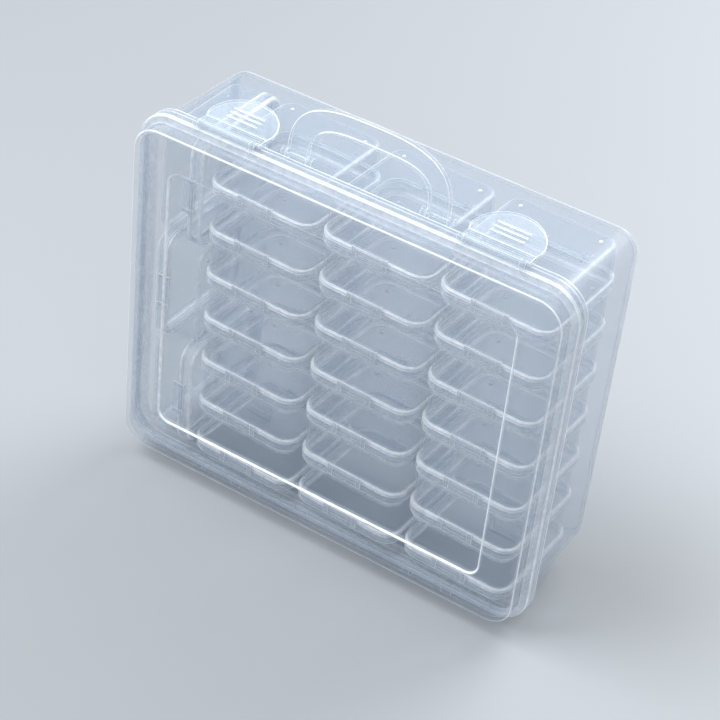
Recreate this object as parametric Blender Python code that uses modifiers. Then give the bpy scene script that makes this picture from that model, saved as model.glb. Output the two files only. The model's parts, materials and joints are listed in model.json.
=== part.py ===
"""Compartment organizer box: a clear hinged case that holds twenty-four small flip-top boxes.

The case stands on its hinge side, with its lid toward -Y and its carrying handle on top. X is the
width, Y runs from the lid to the back and Z is up. The origin is on the ground, below the middle of
the case. All sizes are in metres.
"""

from math import cos, pi, radians, sin

import bmesh
import bpy
from mathutils import Matrix, Vector

# Small boxes
BOX_SIDE = 0.0530
BOX_HEIGHT = 0.0223
BOX_WALL = 0.0010
BOX_CORNER_RADIUS = 0.0080
BOX_LID_HEIGHT = 0.0053
BOX_FLANGE = 0.0012
BOX_DRAFT = 0.0004
BOX_FILLET = 0.0022
BOX_CORNER_STEPS = 3

# Catch on the front of a small box, part of its lid
CATCH_WIDTH = 0.0170
CATCH_THICKNESS = 0.0009
CATCH_DROP = 0.0020
CATCH_BELOW_TOP = 0.0010

# Hinge on the back of a small box: a bar on its lid between two ears on its base
BOX_HINGE_BAR_WIDTH = 0.0160
BOX_HINGE_EAR_WIDTH = 0.0040
BOX_HINGE_DEPTH = 0.0015
BOX_HINGE_REACH = 0.0030

# How the small boxes lie in the case
COLUMNS = 3
ROWS = 7
BOXES_ON_EDGE = 3
COLUMN_GAP = 0.0020
FIRST_COLUMN_GAP = 0.0011
EDGE_GAP = 0.0002
LEFT_GAP = 0.0042
RIGHT_GAP = 0.0038
FLOOR_GAP = 0.0007
CEILING_GAP = 0.0014
COLUMN_YAW = radians(-2.0)
FRONT_PLAY = 0.0055
BACK_PLAY = 0.0040

# Case shells
CASE_WALL = 0.0014
CASE_DRAFT = 0.0015
CORNER_RADIUS = 0.0120
CORNER_STEPS = 6
BACK_FILLET = 0.0030
FILLET_STEPS = 2
LID_FILLET = 0.0008
LID_SIDE_DEPTH = 0.0074
LID_RIM_DEPTH = 0.0037
BODY_RIM_DEPTH = 0.0047
RIM_PROUD = 0.0031
RIM_SLOPE = 0.0006

# Panel pressed into the face of the lid
PANEL_MARGIN = 0.0178
PANEL_RADIUS = 0.0060
PANEL_DEPTH = 0.0008
PANEL_SLOPE = 0.0005
PANEL_RISE = 0.0020

# Clearances
REST_GAP = 0.0003
RUN_GAP = 0.0003
ROOT_OVERLAP = 0.0008
OVERRUN = 0.0010
WELD = 0.00001

# Hinges between the body and the lid
HINGE_SIDE_INSET = 0.0451
HINGE_BARREL_RADIUS = 0.0021
HINGE_PIN_RADIUS = 0.0010
HINGE_BARREL_WIDTH = 0.0160
HINGE_EAR_WIDTH = 0.0045
ROUND_STEPS = 16

# Feet at the back of the hinge side, level with the hinges
FOOT_SIDE_INSET = 0.0301
FOOT_WIDTH = 0.0220
FOOT_DEPTH = 0.0040
FOOT_BACK_INSET = 0.0060

# Latches, which turn on the rim of the lid
LATCH_SIDE_INSET = 0.0381
LATCH_WIDTH = 0.0300
LATCH_BARREL_RADIUS = 0.0019
LATCH_PIN_RADIUS = 0.0009
LATCH_EAR_WIDTH = 0.0022
LATCH_AXIS_SET_BACK = 0.0017
LATCH_PLATE = 0.0016
LATCH_HOOK_THICKNESS = 0.0016
LATCH_HOOK_DROP = 0.0024
LATCH_HOOK_GAP = 0.0005
TAB_WIDTH = 0.0320
TAB_LENGTH = 0.0180
TAB_SHOULDER = 0.0030
TAB_THICKNESS = 0.0014
TAB_TILT = radians(10)
TAB_STEPS = 14
GRIP_RIBS = 3
GRIP_RIB_LENGTH = 0.0150
GRIP_RIB_WIDTH = 0.0010
GRIP_RIB_HEIGHT = 0.0006
GRIP_RIB_PITCH = 0.0027
GRIP_FIRST_RIB = 0.0035

# Carrying handle, which turns on lugs on top of the body
HANDLE_WIDTH = 0.0752
HANDLE_REACH = 0.0277
HANDLE_LEG_WIDTH = 0.0097
HANDLE_GRIP_WIDTH = 0.0101
HANDLE_THICKNESS = 0.0024
HANDLE_CORNER_RADIUS = 0.0170
HANDLE_INNER_RADIUS = 0.0104
HANDLE_CORNER_STEPS = 8
HANDLE_KNUCKLE_RADIUS = 0.0022
HANDLE_PIN_RADIUS = 0.0011
HANDLE_LUG_WIDTH = 0.0022
HANDLE_RAISED = radians(87)

# Sizes that follow from the ones above
CATCH_PROUD = RUN_GAP + CATCH_THICKNESS
BOX_HALF = BOX_SIDE / 2
BASE_HEIGHT = BOX_HEIGHT - BOX_LID_HEIGHT - REST_GAP
ROW_PITCH = BOX_HEIGHT + REST_GAP
EDGE_PITCH = BOX_SIDE + REST_GAP

COLUMN_HEIGHT = ROWS * ROW_PITCH - REST_GAP
EDGE_STACK_HEIGHT = BOXES_ON_EDGE * EDGE_PITCH - REST_GAP
INNER_HEIGHT = max(FLOOR_GAP + COLUMN_HEIGHT + CEILING_GAP, EDGE_STACK_HEIGHT + 2 * EDGE_GAP)
COLUMNS_WIDTH = COLUMNS * BOX_SIDE + (COLUMNS - 1) * COLUMN_GAP
INNER_WIDTH = LEFT_GAP + BOX_HEIGHT + FIRST_COLUMN_GAP + COLUMNS_WIDTH + RIGHT_GAP
INNER_DEPTH = FRONT_PLAY + CATCH_PROUD + BOX_SIDE + BOX_HINGE_DEPTH + BACK_PLAY
CASE_HEIGHT = INNER_HEIGHT + 2 * (CASE_WALL + CASE_DRAFT)
CASE_WIDTH = INNER_WIDTH + 2 * (CASE_WALL + CASE_DRAFT)
CASE_DEPTH = INNER_DEPTH + 2 * CASE_WALL

HALF_WIDTH = CASE_WIDTH / 2
HALF_HEIGHT = CASE_HEIGHT / 2
RIM_HALF_HEIGHT = HALF_HEIGHT + RIM_PROUD
HINGE_OFFSET = HALF_WIDTH - HINGE_SIDE_INSET
FOOT_OFFSET = HALF_WIDTH - FOOT_SIDE_INSET
LATCH_OFFSET = HALF_WIDTH - LATCH_SIDE_INSET
CENTRE_Z = RIM_HALF_HEIGHT + RUN_GAP + 2 * HINGE_BARREL_RADIUS
TOP_Z = CENTRE_Z + HALF_HEIGHT
RIM_TOP_Z = CENTRE_Z + RIM_HALF_HEIGHT
RIM_BOTTOM_Z = CENTRE_Z - RIM_HALF_HEIGHT

FRONT_Y = -CASE_DEPTH / 2
BACK_Y = CASE_DEPTH / 2
LID_RIM_Y = FRONT_Y + LID_SIDE_DEPTH
SEAM_Y = LID_RIM_Y + LID_RIM_DEPTH
BODY_FRONT_Y = SEAM_Y + REST_GAP
BODY_RIM_BACK_Y = BODY_FRONT_Y + BODY_RIM_DEPTH

HINGE_AXIS = Vector((0, (SEAM_Y + BODY_FRONT_Y) / 2, HINGE_BARREL_RADIUS))
LATCH_AXIS = Vector((0, SEAM_Y - LATCH_AXIS_SET_BACK, RIM_TOP_Z + RUN_GAP + LATCH_BARREL_RADIUS))
HANDLE_AXIS = Vector(
    (0, BODY_RIM_BACK_Y + RUN_GAP + HANDLE_KNUCKLE_RADIUS, TOP_Z + RUN_GAP + HANDLE_KNUCKLE_RADIUS)
)

CLEAR = (0.86, 0.90, 0.93, 1.0)
CLEAR_BLUE = (0.80, 0.87, 0.92, 1.0)
FROSTED = (0.90, 0.92, 0.94, 1.0)


def clear_scene():
    for item in list(bpy.data.objects):
        bpy.data.objects.remove(item, do_unlink=True)


def make_collection(name):
    collection = bpy.data.collections.new(name)
    bpy.context.scene.collection.children.link(collection)
    return collection


def make_material(name, colour, roughness):
    """A clear moulded plastic."""
    material = bpy.data.materials.new(name)
    material.use_nodes = True
    shader = material.node_tree.nodes["Principled BSDF"]
    shader.inputs["Base Color"].default_value = colour
    shader.inputs["Roughness"].default_value = roughness
    shader.inputs["Metallic"].default_value = 0.0
    material.diffuse_color = colour
    return material


def add_object(name, mesh, collection, material=None):
    item = bpy.data.objects.new(name, mesh)
    collection.objects.link(item)
    if material and not mesh.materials:
        mesh.materials.append(material)
    return item


def add_empty(name, location, collection):
    """A pivot: what turns about it is parented to it."""
    pivot = bpy.data.objects.new(name, None)
    pivot.location = location
    collection.objects.link(pivot)
    return pivot


def mesh_from(bm, name):
    mesh = bpy.data.meshes.new(name)
    bm.to_mesh(mesh)
    bm.free()
    return mesh


def baked_mesh(item, name):
    """The mesh that an object has once its modifiers are applied."""
    bpy.context.view_layer.update()
    evaluated = item.evaluated_get(bpy.context.evaluated_depsgraph_get())
    mesh = bpy.data.meshes.new_from_object(evaluated)
    mesh.name = name
    return mesh


def round_corners(half_a, half_b, radius, steps):
    """Points round a rounded rectangle, in order, as (a, b) pairs."""
    points = []
    for quarter, (side_a, side_b) in enumerate(((1, 1), (-1, 1), (-1, -1), (1, -1))):
        for step in range(steps + 1):
            angle = (quarter + step / steps) * pi / 2
            a = side_a * (half_a - radius) + radius * cos(angle)
            b = side_b * (half_b - radius) + radius * sin(angle)
            points.append((a, b))
    return points


def fillet_rings(along, direction, half_a, half_b, radius, fillet, steps):
    """Rings that round the edge between a flat end at along and the wall beyond it."""
    rings = []
    for step in range(steps + 1):
        angle = step / steps * pi / 2
        inset = fillet * (1 - sin(angle))
        depth = fillet * (1 - cos(angle))
        rings.append((along + direction * depth, half_a - inset, half_b - inset, radius - inset))
    return rings


def loft(rings, steps, place, outward):
    """An open shell through rounded rectangles: (along, half_a, half_b, radius).

    The first ring is capped and the last stays open. place turns (a, b, along) into a point, and
    outward is the way that the cap faces.
    """
    bm = bmesh.new()
    loops = []
    for along, half_a, half_b, radius in rings:
        points = round_corners(half_a, half_b, radius, steps)
        loops.append([bm.verts.new(place(a, b, along)) for a, b in points])
    cap = bm.faces.new(loops[0])
    for inner, outer in zip(loops, loops[1:]):
        for k, vertex in enumerate(inner):
            bm.faces.new((vertex, inner[k - 1], outer[k - 1], outer[k]))
    bmesh.ops.recalc_face_normals(bm, faces=bm.faces)
    if cap.normal.dot(outward) < 0:
        bmesh.ops.reverse_faces(bm, faces=bm.faces)
    return bm


def thicken(item, wall):
    """Gives an open shell its wall, on the inner side."""
    modifier = item.modifiers.new("Wall", "SOLIDIFY")
    modifier.thickness = wall
    modifier.offset = -1
    modifier.use_even_offset = True


def combine(item, tool, operation):
    modifier = item.modifiers.new(tool.name, "BOOLEAN")
    modifier.operation = operation
    modifier.solver = "EXACT"
    modifier.object = tool


def add_tool(name, bm, tools):
    """A cutter, or a piece that a Boolean joins to its carrier."""
    tool = add_object(name, mesh_from(bm, name), tools)
    tool.hide_render = True
    tool.display_type = "WIRE"
    return tool


def add_box(bm, low, high):
    """A box between two corners."""
    low, high = Vector(low), Vector(high)
    size = high - low
    matrix = Matrix.Translation((low + high) / 2) @ Matrix.Diagonal((*size, 1))
    bmesh.ops.create_cube(bm, size=1, matrix=matrix)


def add_rod(bm, axis, radius, start_x, end_x):
    """A cylinder along X through the axis point."""
    centre = Vector(((start_x + end_x) / 2, axis.y, axis.z))
    bmesh.ops.create_cone(
        bm,
        cap_ends=True,
        segments=ROUND_STEPS,
        radius1=radius,
        radius2=radius,
        depth=abs(end_x - start_x),
        matrix=Matrix.Translation(centre) @ Matrix.Rotation(pi / 2, 4, "Y"),
    )


def add_lug(bm, axis, radius, root, start_x, end_x):
    """A plate across X that runs from a round end about the axis to two root points (y, z)."""
    circle = []
    for step in range(ROUND_STEPS):
        angle = 2 * pi * step / ROUND_STEPS
        circle.append((axis.y + radius * cos(angle), axis.z + radius * sin(angle)))
    points = [(x, y, z) for x in (start_x, end_x) for y, z in circle + list(root)]
    vertices = [bm.verts.new(point) for point in points]
    hull = bmesh.ops.convex_hull(bm, input=vertices)
    spare = {v for v in hull["geom_interior"] + hull["geom_unused"] if isinstance(v, bmesh.types.BMVert)}
    bmesh.ops.delete(bm, geom=list(spare), context="VERTS")
    flat_edges = [e for e in bm.edges if e.is_manifold and e.calc_face_angle() < radians(1)]
    bmesh.ops.dissolve_edges(bm, edges=flat_edges, use_verts=False)


def smooth(mesh, angle=radians(35)):
    mesh.shade_smooth()
    mesh.set_sharp_from_angle(angle=angle)


def case_place(a, b, along):
    return Vector((a, along, CENTRE_Z + b))


def box_place(a, b, along):
    return Vector((a, b, along))


def case_body(parts, tools, material):
    """The deep shell with its stepped rim, hinge pins and handle lugs."""
    back_width = HALF_WIDTH - CASE_DRAFT
    back_height = HALF_HEIGHT - CASE_DRAFT
    back_radius = CORNER_RADIUS - CASE_DRAFT
    rim_radius = CORNER_RADIUS + RIM_PROUD
    rings = fillet_rings(BACK_Y, -1, back_width, back_height, back_radius, BACK_FILLET, FILLET_STEPS)
    rings += [
        (BODY_RIM_BACK_Y, HALF_WIDTH, HALF_HEIGHT, CORNER_RADIUS),
        (BODY_RIM_BACK_Y - RIM_SLOPE, HALF_WIDTH + RIM_PROUD, RIM_HALF_HEIGHT, rim_radius),
        (BODY_FRONT_Y, HALF_WIDTH + RIM_PROUD, RIM_HALF_HEIGHT, rim_radius),
    ]
    bm = loft(rings, CORNER_STEPS, case_place, Vector((0, 1, 0)))
    body = add_object("case_body", mesh_from(bm, "case_body"), parts, material)
    thicken(body, CASE_WALL)
    combine(body, hinge_ears(tools), "UNION")
    combine(body, hinge_pins(tools), "UNION")
    combine(body, stand_feet(tools), "UNION")
    combine(body, handle_lugs(tools), "UNION")
    combine(body, handle_bores(tools), "DIFFERENCE")
    body.data = finish(body)
    return body


def finish(item):
    """Applies an object's modifiers and shades its round faces smooth."""
    mesh = baked_mesh(item, item.name)
    item.modifiers.clear()
    smooth(mesh)
    return mesh


def hinge_ears(tools):
    """Two ears on the body beside each barrel of the lid."""
    bm = bmesh.new()
    root_z = RIM_BOTTOM_Z + ROOT_OVERLAP
    root = ((BODY_FRONT_Y + HINGE_BARREL_RADIUS, root_z), (BODY_RIM_BACK_Y - RIM_SLOPE, root_z))
    inner = HINGE_BARREL_WIDTH / 2 + RUN_GAP
    for side in (-1, 1):
        for hand in (-1, 1):
            start = side * HINGE_OFFSET + hand * inner
            end = start + hand * HINGE_EAR_WIDTH
            add_lug(bm, HINGE_AXIS, HINGE_BARREL_RADIUS, root, start, end)
    return add_tool("hinge_ears", bm, tools)


def hinge_pins(tools):
    """The moulded pin between each pair of ears."""
    bm = bmesh.new()
    half = HINGE_BARREL_WIDTH / 2 + HINGE_EAR_WIDTH / 2
    for side in (-1, 1):
        middle = side * HINGE_OFFSET
        add_rod(bm, HINGE_AXIS, HINGE_PIN_RADIUS, middle - half, middle + half)
    return add_tool("hinge_pins", bm, tools)


def stand_feet(tools):
    """Two moulded feet that hold the case level when it stands on its hinge side."""
    bm = bmesh.new()
    back = BACK_Y - FOOT_BACK_INSET
    top = RIM_BOTTOM_Z + RIM_PROUD + CASE_DRAFT + ROOT_OVERLAP
    half = FOOT_WIDTH / 2
    for side in (-1, 1):
        middle = side * FOOT_OFFSET
        add_box(bm, (middle - half, back - FOOT_DEPTH, 0), (middle + half, back, top))
    return add_tool("stand_feet", bm, tools)


def handle_lug_spans():
    """Where the lugs stand along X: one on each side of each leg of the handle."""
    outer = HANDLE_WIDTH / 2
    inner = outer - HANDLE_LEG_WIDTH
    spans = []
    for side in (-1, 1):
        for face, hand in ((outer, 1), (inner, -1)):
            start = side * (face + hand * RUN_GAP)
            spans.append((start, start + side * hand * HANDLE_LUG_WIDTH))
    return spans


def handle_lugs(tools):
    bm = bmesh.new()
    root_z = TOP_Z - ROOT_OVERLAP
    half = HANDLE_KNUCKLE_RADIUS + RUN_GAP
    root = ((HANDLE_AXIS.y - half, root_z), (HANDLE_AXIS.y + half, root_z))
    for start, end in handle_lug_spans():
        add_lug(bm, HANDLE_AXIS, HANDLE_KNUCKLE_RADIUS, root, start, end)
    return add_tool("handle_lugs", bm, tools)


def handle_bores(tools):
    bm = bmesh.new()
    for start, end in handle_lug_spans():
        low, high = sorted((start, end))
        add_rod(bm, HANDLE_AXIS, HANDLE_PIN_RADIUS + RUN_GAP, low - OVERRUN, high + OVERRUN)
    return add_tool("handle_bores", bm, tools)


def case_lid(parts, tools, material):
    """The shallow shell with its pressed panel, hinge barrels and latch ears."""
    panel_width = HALF_WIDTH - PANEL_MARGIN
    panel_height = HALF_HEIGHT - PANEL_MARGIN
    rim_radius = CORNER_RADIUS + RIM_PROUD

    def place(a, b, along):
        rise = PANEL_RISE if max(abs(a) - panel_width, abs(b) - panel_height) < OVERRUN else 0
        return case_place(a, b + rise, along)

    rings = [
        (
            FRONT_Y + PANEL_DEPTH,
            panel_width - PANEL_SLOPE,
            panel_height - PANEL_SLOPE,
            PANEL_RADIUS - PANEL_SLOPE,
        ),
        (FRONT_Y, panel_width, panel_height, PANEL_RADIUS),
    ]
    rings += fillet_rings(FRONT_Y, 1, HALF_WIDTH, HALF_HEIGHT, CORNER_RADIUS, LID_FILLET, 1)
    rings += [
        (LID_RIM_Y, HALF_WIDTH, HALF_HEIGHT, CORNER_RADIUS),
        (LID_RIM_Y + RIM_SLOPE, HALF_WIDTH + RIM_PROUD, RIM_HALF_HEIGHT, rim_radius),
        (SEAM_Y, HALF_WIDTH + RIM_PROUD, RIM_HALF_HEIGHT, rim_radius),
    ]
    bm = loft(rings, CORNER_STEPS, place, Vector((0, -1, 0)))
    lid = add_object("case_lid", mesh_from(bm, "case_lid"), parts, material)
    thicken(lid, CASE_WALL)
    combine(lid, hinge_barrels(tools), "UNION")
    combine(lid, hinge_bores(tools), "DIFFERENCE")
    combine(lid, latch_ears(tools), "UNION")
    combine(lid, latch_pins(tools), "UNION")
    lid.data = finish(lid)
    return lid


def hinge_barrels(tools):
    bm = bmesh.new()
    root_z = RIM_BOTTOM_Z + ROOT_OVERLAP
    root = ((SEAM_Y - HINGE_BARREL_RADIUS, root_z), (LID_RIM_Y + RIM_SLOPE, root_z))
    half = HINGE_BARREL_WIDTH / 2
    for side in (-1, 1):
        middle = side * HINGE_OFFSET
        add_lug(bm, HINGE_AXIS, HINGE_BARREL_RADIUS, root, middle - half, middle + half)
    return add_tool("hinge_barrels", bm, tools)


def hinge_bores(tools):
    bm = bmesh.new()
    half = HINGE_BARREL_WIDTH / 2 + OVERRUN
    for side in (-1, 1):
        middle = side * HINGE_OFFSET
        add_rod(bm, HINGE_AXIS, HINGE_PIN_RADIUS + RUN_GAP, middle - half, middle + half)
    return add_tool("hinge_bores", bm, tools)


def latch_ears(tools):
    """Two ears on the lid's rim, beside each latch barrel."""
    bm = bmesh.new()
    root_z = RIM_TOP_Z - ROOT_OVERLAP
    root = ((LATCH_AXIS.y - LATCH_BARREL_RADIUS, root_z), (SEAM_Y, root_z))
    for side in (-1, 1):
        for hand in (-1, 1):
            outer = side * LATCH_OFFSET + hand * LATCH_WIDTH / 2
            add_lug(bm, LATCH_AXIS, LATCH_BARREL_RADIUS, root, outer, outer - hand * LATCH_EAR_WIDTH)
    return add_tool("latch_ears", bm, tools)


def latch_pins(tools):
    bm = bmesh.new()
    half = LATCH_WIDTH / 2 - LATCH_EAR_WIDTH / 2
    for side in (-1, 1):
        middle = side * LATCH_OFFSET
        add_rod(bm, LATCH_AXIS, LATCH_PIN_RADIUS, middle - half, middle + half)
    return add_tool("latch_pins", bm, tools)


def tab_outline():
    """The half-oval finger tab, a little wider than the latch that it grows from."""
    half = TAB_WIDTH / 2
    points = [(-LATCH_WIDTH / 2, 0), (LATCH_WIDTH / 2, 0)]
    for step in range(TAB_STEPS + 1):
        angle = pi * step / TAB_STEPS
        reach = TAB_SHOULDER + (TAB_LENGTH - TAB_SHOULDER) * sin(angle)
        points.append((half * cos(angle), reach))
    return points


def latch_mesh(tools, material):
    """A latch about its own axis: barrel, plate over both rims, hook and finger tab with ribs."""
    axis = Vector((0, 0, 0))
    under = -LATCH_BARREL_RADIUS
    top = under + LATCH_PLATE
    plate_start = LATCH_BARREL_RADIUS + RUN_GAP
    hook_start = BODY_RIM_BACK_Y + LATCH_HOOK_GAP - LATCH_AXIS.y
    hook_end = hook_start + LATCH_HOOK_THICKNESS
    half = LATCH_WIDTH / 2
    inner = half - LATCH_EAR_WIDTH - RUN_GAP

    bm = bmesh.new()
    root = ((plate_start + OVERRUN, under), (plate_start + OVERRUN, top))
    add_lug(bm, axis, LATCH_BARREL_RADIUS, root, -inner, inner)
    latch = add_object("latch", mesh_from(bm, "latch"), tools, material)
    latch.hide_render = True

    bm = bmesh.new()
    add_box(bm, (-half, plate_start, under), (half, hook_end, top))
    combine(latch, add_tool("latch_plate", bm, tools), "UNION")

    bm = bmesh.new()
    add_box(bm, (-half, hook_start, under - LATCH_HOOK_DROP), (half, hook_end, top))
    combine(latch, add_tool("latch_hook", bm, tools), "UNION")

    bm = bmesh.new()
    base = bm.faces.new([bm.verts.new((a, b, 0)) for a, b in tab_outline()])
    lifted = bmesh.ops.extrude_face_region(bm, geom=[base])
    upper = [v for v in lifted["geom"] if isinstance(v, bmesh.types.BMVert)]
    bmesh.ops.translate(bm, verts=upper, vec=(0, 0, TAB_THICKNESS))
    bmesh.ops.recalc_face_normals(bm, faces=bm.faces)
    to_latch = Matrix.Translation((0, hook_end - OVERRUN, top - TAB_THICKNESS)) @ Matrix.Rotation(
        TAB_TILT, 4, "X"
    )
    bmesh.ops.transform(bm, matrix=to_latch, verts=bm.verts)
    combine(latch, add_tool("latch_tab", bm, tools), "UNION")

    bm = bmesh.new()
    for rib in range(GRIP_RIBS):
        start = GRIP_FIRST_RIB + rib * GRIP_RIB_PITCH
        low = (-GRIP_RIB_LENGTH / 2, start, TAB_THICKNESS / 2)
        high = (GRIP_RIB_LENGTH / 2, start + GRIP_RIB_WIDTH, TAB_THICKNESS + GRIP_RIB_HEIGHT)
        add_box(bm, low, high)
    bmesh.ops.transform(bm, matrix=to_latch, verts=bm.verts)
    combine(latch, add_tool("latch_ribs", bm, tools), "UNION")

    bm = bmesh.new()
    add_rod(bm, axis, LATCH_PIN_RADIUS + RUN_GAP, -inner - OVERRUN, inner + OVERRUN)
    combine(latch, add_tool("latch_bore", bm, tools), "DIFFERENCE")

    mesh = finish(latch)
    bpy.data.objects.remove(latch)
    return mesh


def latches(parts, tools, material):
    mesh = latch_mesh(tools, material)
    for name, side in (("latch_left", -1), ("latch_right", 1)):
        pivot = add_empty(name + "_pivot", LATCH_AXIS + Vector((side * LATCH_OFFSET, 0, 0)), parts)
        latch = add_object(name, mesh, parts)
        latch.parent = pivot


def handle_outline():
    """Half of the grip plate's outline, from the foot of a leg round to the middle, then back."""
    outer = HANDLE_WIDTH / 2
    inner = outer - HANDLE_LEG_WIDTH
    grip = HANDLE_REACH - HANDLE_GRIP_WIDTH
    outside = [(outer, 0)]
    inside = [(inner, 0)]
    for step in range(HANDLE_CORNER_STEPS + 1):
        angle = pi / 2 * step / HANDLE_CORNER_STEPS
        for side, reach, radius, points in (
            (outer, HANDLE_REACH, HANDLE_CORNER_RADIUS, outside),
            (inner, grip, HANDLE_INNER_RADIUS, inside),
        ):
            points.append((side - radius * (1 - cos(angle)), reach - radius * (1 - sin(angle))))
    outside.append((0, HANDLE_REACH))
    inside.append((0, grip))
    return outside + inside[::-1]


def carry_handle(parts, tools, material):
    """A flat bow with round knuckles and stub pins at its feet, mirrored about its middle."""
    curve = bpy.data.curves.new("carry_handle", "CURVE")
    curve.dimensions = "2D"
    curve.fill_mode = "BOTH"
    curve.extrude = HANDLE_THICKNESS / 2
    half = handle_outline()
    mirrored = [(-x, y) for x, y in half[::-1] if x > 0]
    middle = half.index((0, HANDLE_REACH))
    outline = half[: middle + 1] + mirrored[len(mirrored) - middle :]
    outline += mirrored[: len(mirrored) - middle] + half[middle + 1 :]
    spline = curve.splines.new("POLY")
    spline.points.add(len(outline) - 1)
    for point, (x, y) in zip(spline.points, outline):
        point.co = (x, y, 0, 1)
    spline.use_cyclic_u = True
    blank = bpy.data.objects.new("handle_blank", curve)
    tools.objects.link(blank)
    bm = bmesh.new()
    bm.from_mesh(baked_mesh(blank, "carry_handle"))
    bmesh.ops.remove_doubles(bm, verts=bm.verts, dist=WELD)
    bpy.data.objects.remove(blank)

    handle = add_object("carry_handle", mesh_from(bm, "carry_handle"), parts, material)
    combine(handle, handle_knuckles(tools), "UNION")
    combine(handle, handle_pins(tools), "UNION")
    handle.data = finish(handle)
    pivot = add_empty("carry_handle_pivot", HANDLE_AXIS, parts)
    pivot.rotation_euler.x = HANDLE_RAISED
    handle.parent = pivot
    return handle


def handle_knuckles(tools):
    bm = bmesh.new()
    outer = HANDLE_WIDTH / 2
    inner = outer - HANDLE_LEG_WIDTH
    for side in (-1, 1):
        add_rod(bm, Vector((0, 0, 0)), HANDLE_KNUCKLE_RADIUS, side * inner, side * outer)
    return add_tool("handle_knuckles", bm, tools)


def handle_pins(tools):
    """Stub pins on both sides of each leg, which turn in the lugs of the body."""
    bm = bmesh.new()
    outer = HANDLE_WIDTH / 2 + RUN_GAP + HANDLE_LUG_WIDTH
    inner = HANDLE_WIDTH / 2 - HANDLE_LEG_WIDTH - RUN_GAP - HANDLE_LUG_WIDTH
    for side in (-1, 1):
        add_rod(bm, Vector((0, 0, 0)), HANDLE_PIN_RADIUS, side * inner, side * outer)
    return add_tool("handle_pins", bm, tools)


def box_base_mesh(tools, material):
    """A small drafted tray with a flange round its mouth and two hinge ears behind."""
    wall_half = BOX_HALF - BOX_FLANGE
    wall_radius = BOX_CORNER_RADIUS - BOX_FLANGE
    foot_half = wall_half - BOX_DRAFT
    foot_radius = wall_radius - BOX_DRAFT
    mouth = BASE_HEIGHT - BOX_WALL
    rings = fillet_rings(0, 1, foot_half, foot_half, foot_radius, BOX_FILLET, 1)
    rings += [
        (mouth, wall_half, wall_half, wall_radius),
        (mouth, BOX_HALF, BOX_HALF, BOX_CORNER_RADIUS),
    ]
    bm = loft(rings, BOX_CORNER_STEPS, box_place, Vector((0, 0, -1)))
    base = add_object("box_base", mesh_from(bm, "box_base"), tools, material)
    thicken(base, BOX_WALL)

    bm = bmesh.new()
    start = BOX_HINGE_BAR_WIDTH / 2 + RUN_GAP
    for side in (-1, 1):
        near, far = side * start, side * (start + BOX_HINGE_EAR_WIDTH)
        low = (min(near, far), BOX_HALF - BOX_WALL, mouth - BOX_HINGE_REACH / 2)
        high = (max(near, far), BOX_HALF + BOX_HINGE_DEPTH, BASE_HEIGHT)
        add_box(bm, low, high)
    combine(base, add_tool("box_hinge_ears", bm, tools), "UNION")
    mesh = finish(base)
    bpy.data.objects.remove(base)
    return mesh


def box_lid_mesh(tools, material):
    """A shallow cap with a catch in front and a hinge bar behind."""
    skirt = BASE_HEIGHT + REST_GAP
    rings = fillet_rings(BOX_HEIGHT, -1, BOX_HALF, BOX_HALF, BOX_CORNER_RADIUS, BOX_FILLET, 1)
    rings.append((skirt, BOX_HALF, BOX_HALF, BOX_CORNER_RADIUS))
    bm = loft(rings, BOX_CORNER_STEPS, box_place, Vector((0, 0, 1)))
    lid = add_object("box_lid", mesh_from(bm, "box_lid"), tools, material)
    thicken(lid, BOX_WALL)

    bm = bmesh.new()
    face = BOX_HALF + RUN_GAP
    front = face + CATCH_THICKNESS
    top = BOX_HEIGHT - CATCH_BELOW_TOP - BOX_FILLET
    shoulder = skirt + RUN_GAP
    profile = (
        (BOX_HALF - BOX_WALL / 2, top),
        (front, top),
        (front, BASE_HEIGHT - BOX_WALL - CATCH_DROP),
        (face, BASE_HEIGHT - BOX_WALL - CATCH_DROP),
        (face, shoulder),
        (BOX_HALF - BOX_WALL / 2, shoulder),
    )
    side = bm.faces.new([bm.verts.new((-CATCH_WIDTH / 2, -y, z)) for y, z in profile])
    moved = bmesh.ops.extrude_face_region(bm, geom=[side])
    far = [v for v in moved["geom"] if isinstance(v, bmesh.types.BMVert)]
    bmesh.ops.translate(bm, verts=far, vec=(CATCH_WIDTH, 0, 0))
    bmesh.ops.recalc_face_normals(bm, faces=bm.faces)
    combine(lid, add_tool("box_catch", bm, tools), "UNION")

    bm = bmesh.new()
    half = BOX_HINGE_BAR_WIDTH / 2
    low = (-half, BOX_HALF - BOX_WALL / 2, skirt)
    add_box(bm, low, (half, BOX_HALF + BOX_HINGE_DEPTH, skirt + BOX_HINGE_REACH))
    combine(lid, add_tool("box_hinge_bar", bm, tools), "UNION")
    mesh = finish(lid)
    bpy.data.objects.remove(lid)
    return mesh


def column_x(column):
    """The middle of a column of small boxes, right of the ones on edge."""
    last = INNER_WIDTH / 2 - RIGHT_GAP - BOX_HALF
    return last - (COLUMNS - 1 - column) * (BOX_SIDE + COLUMN_GAP)


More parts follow.
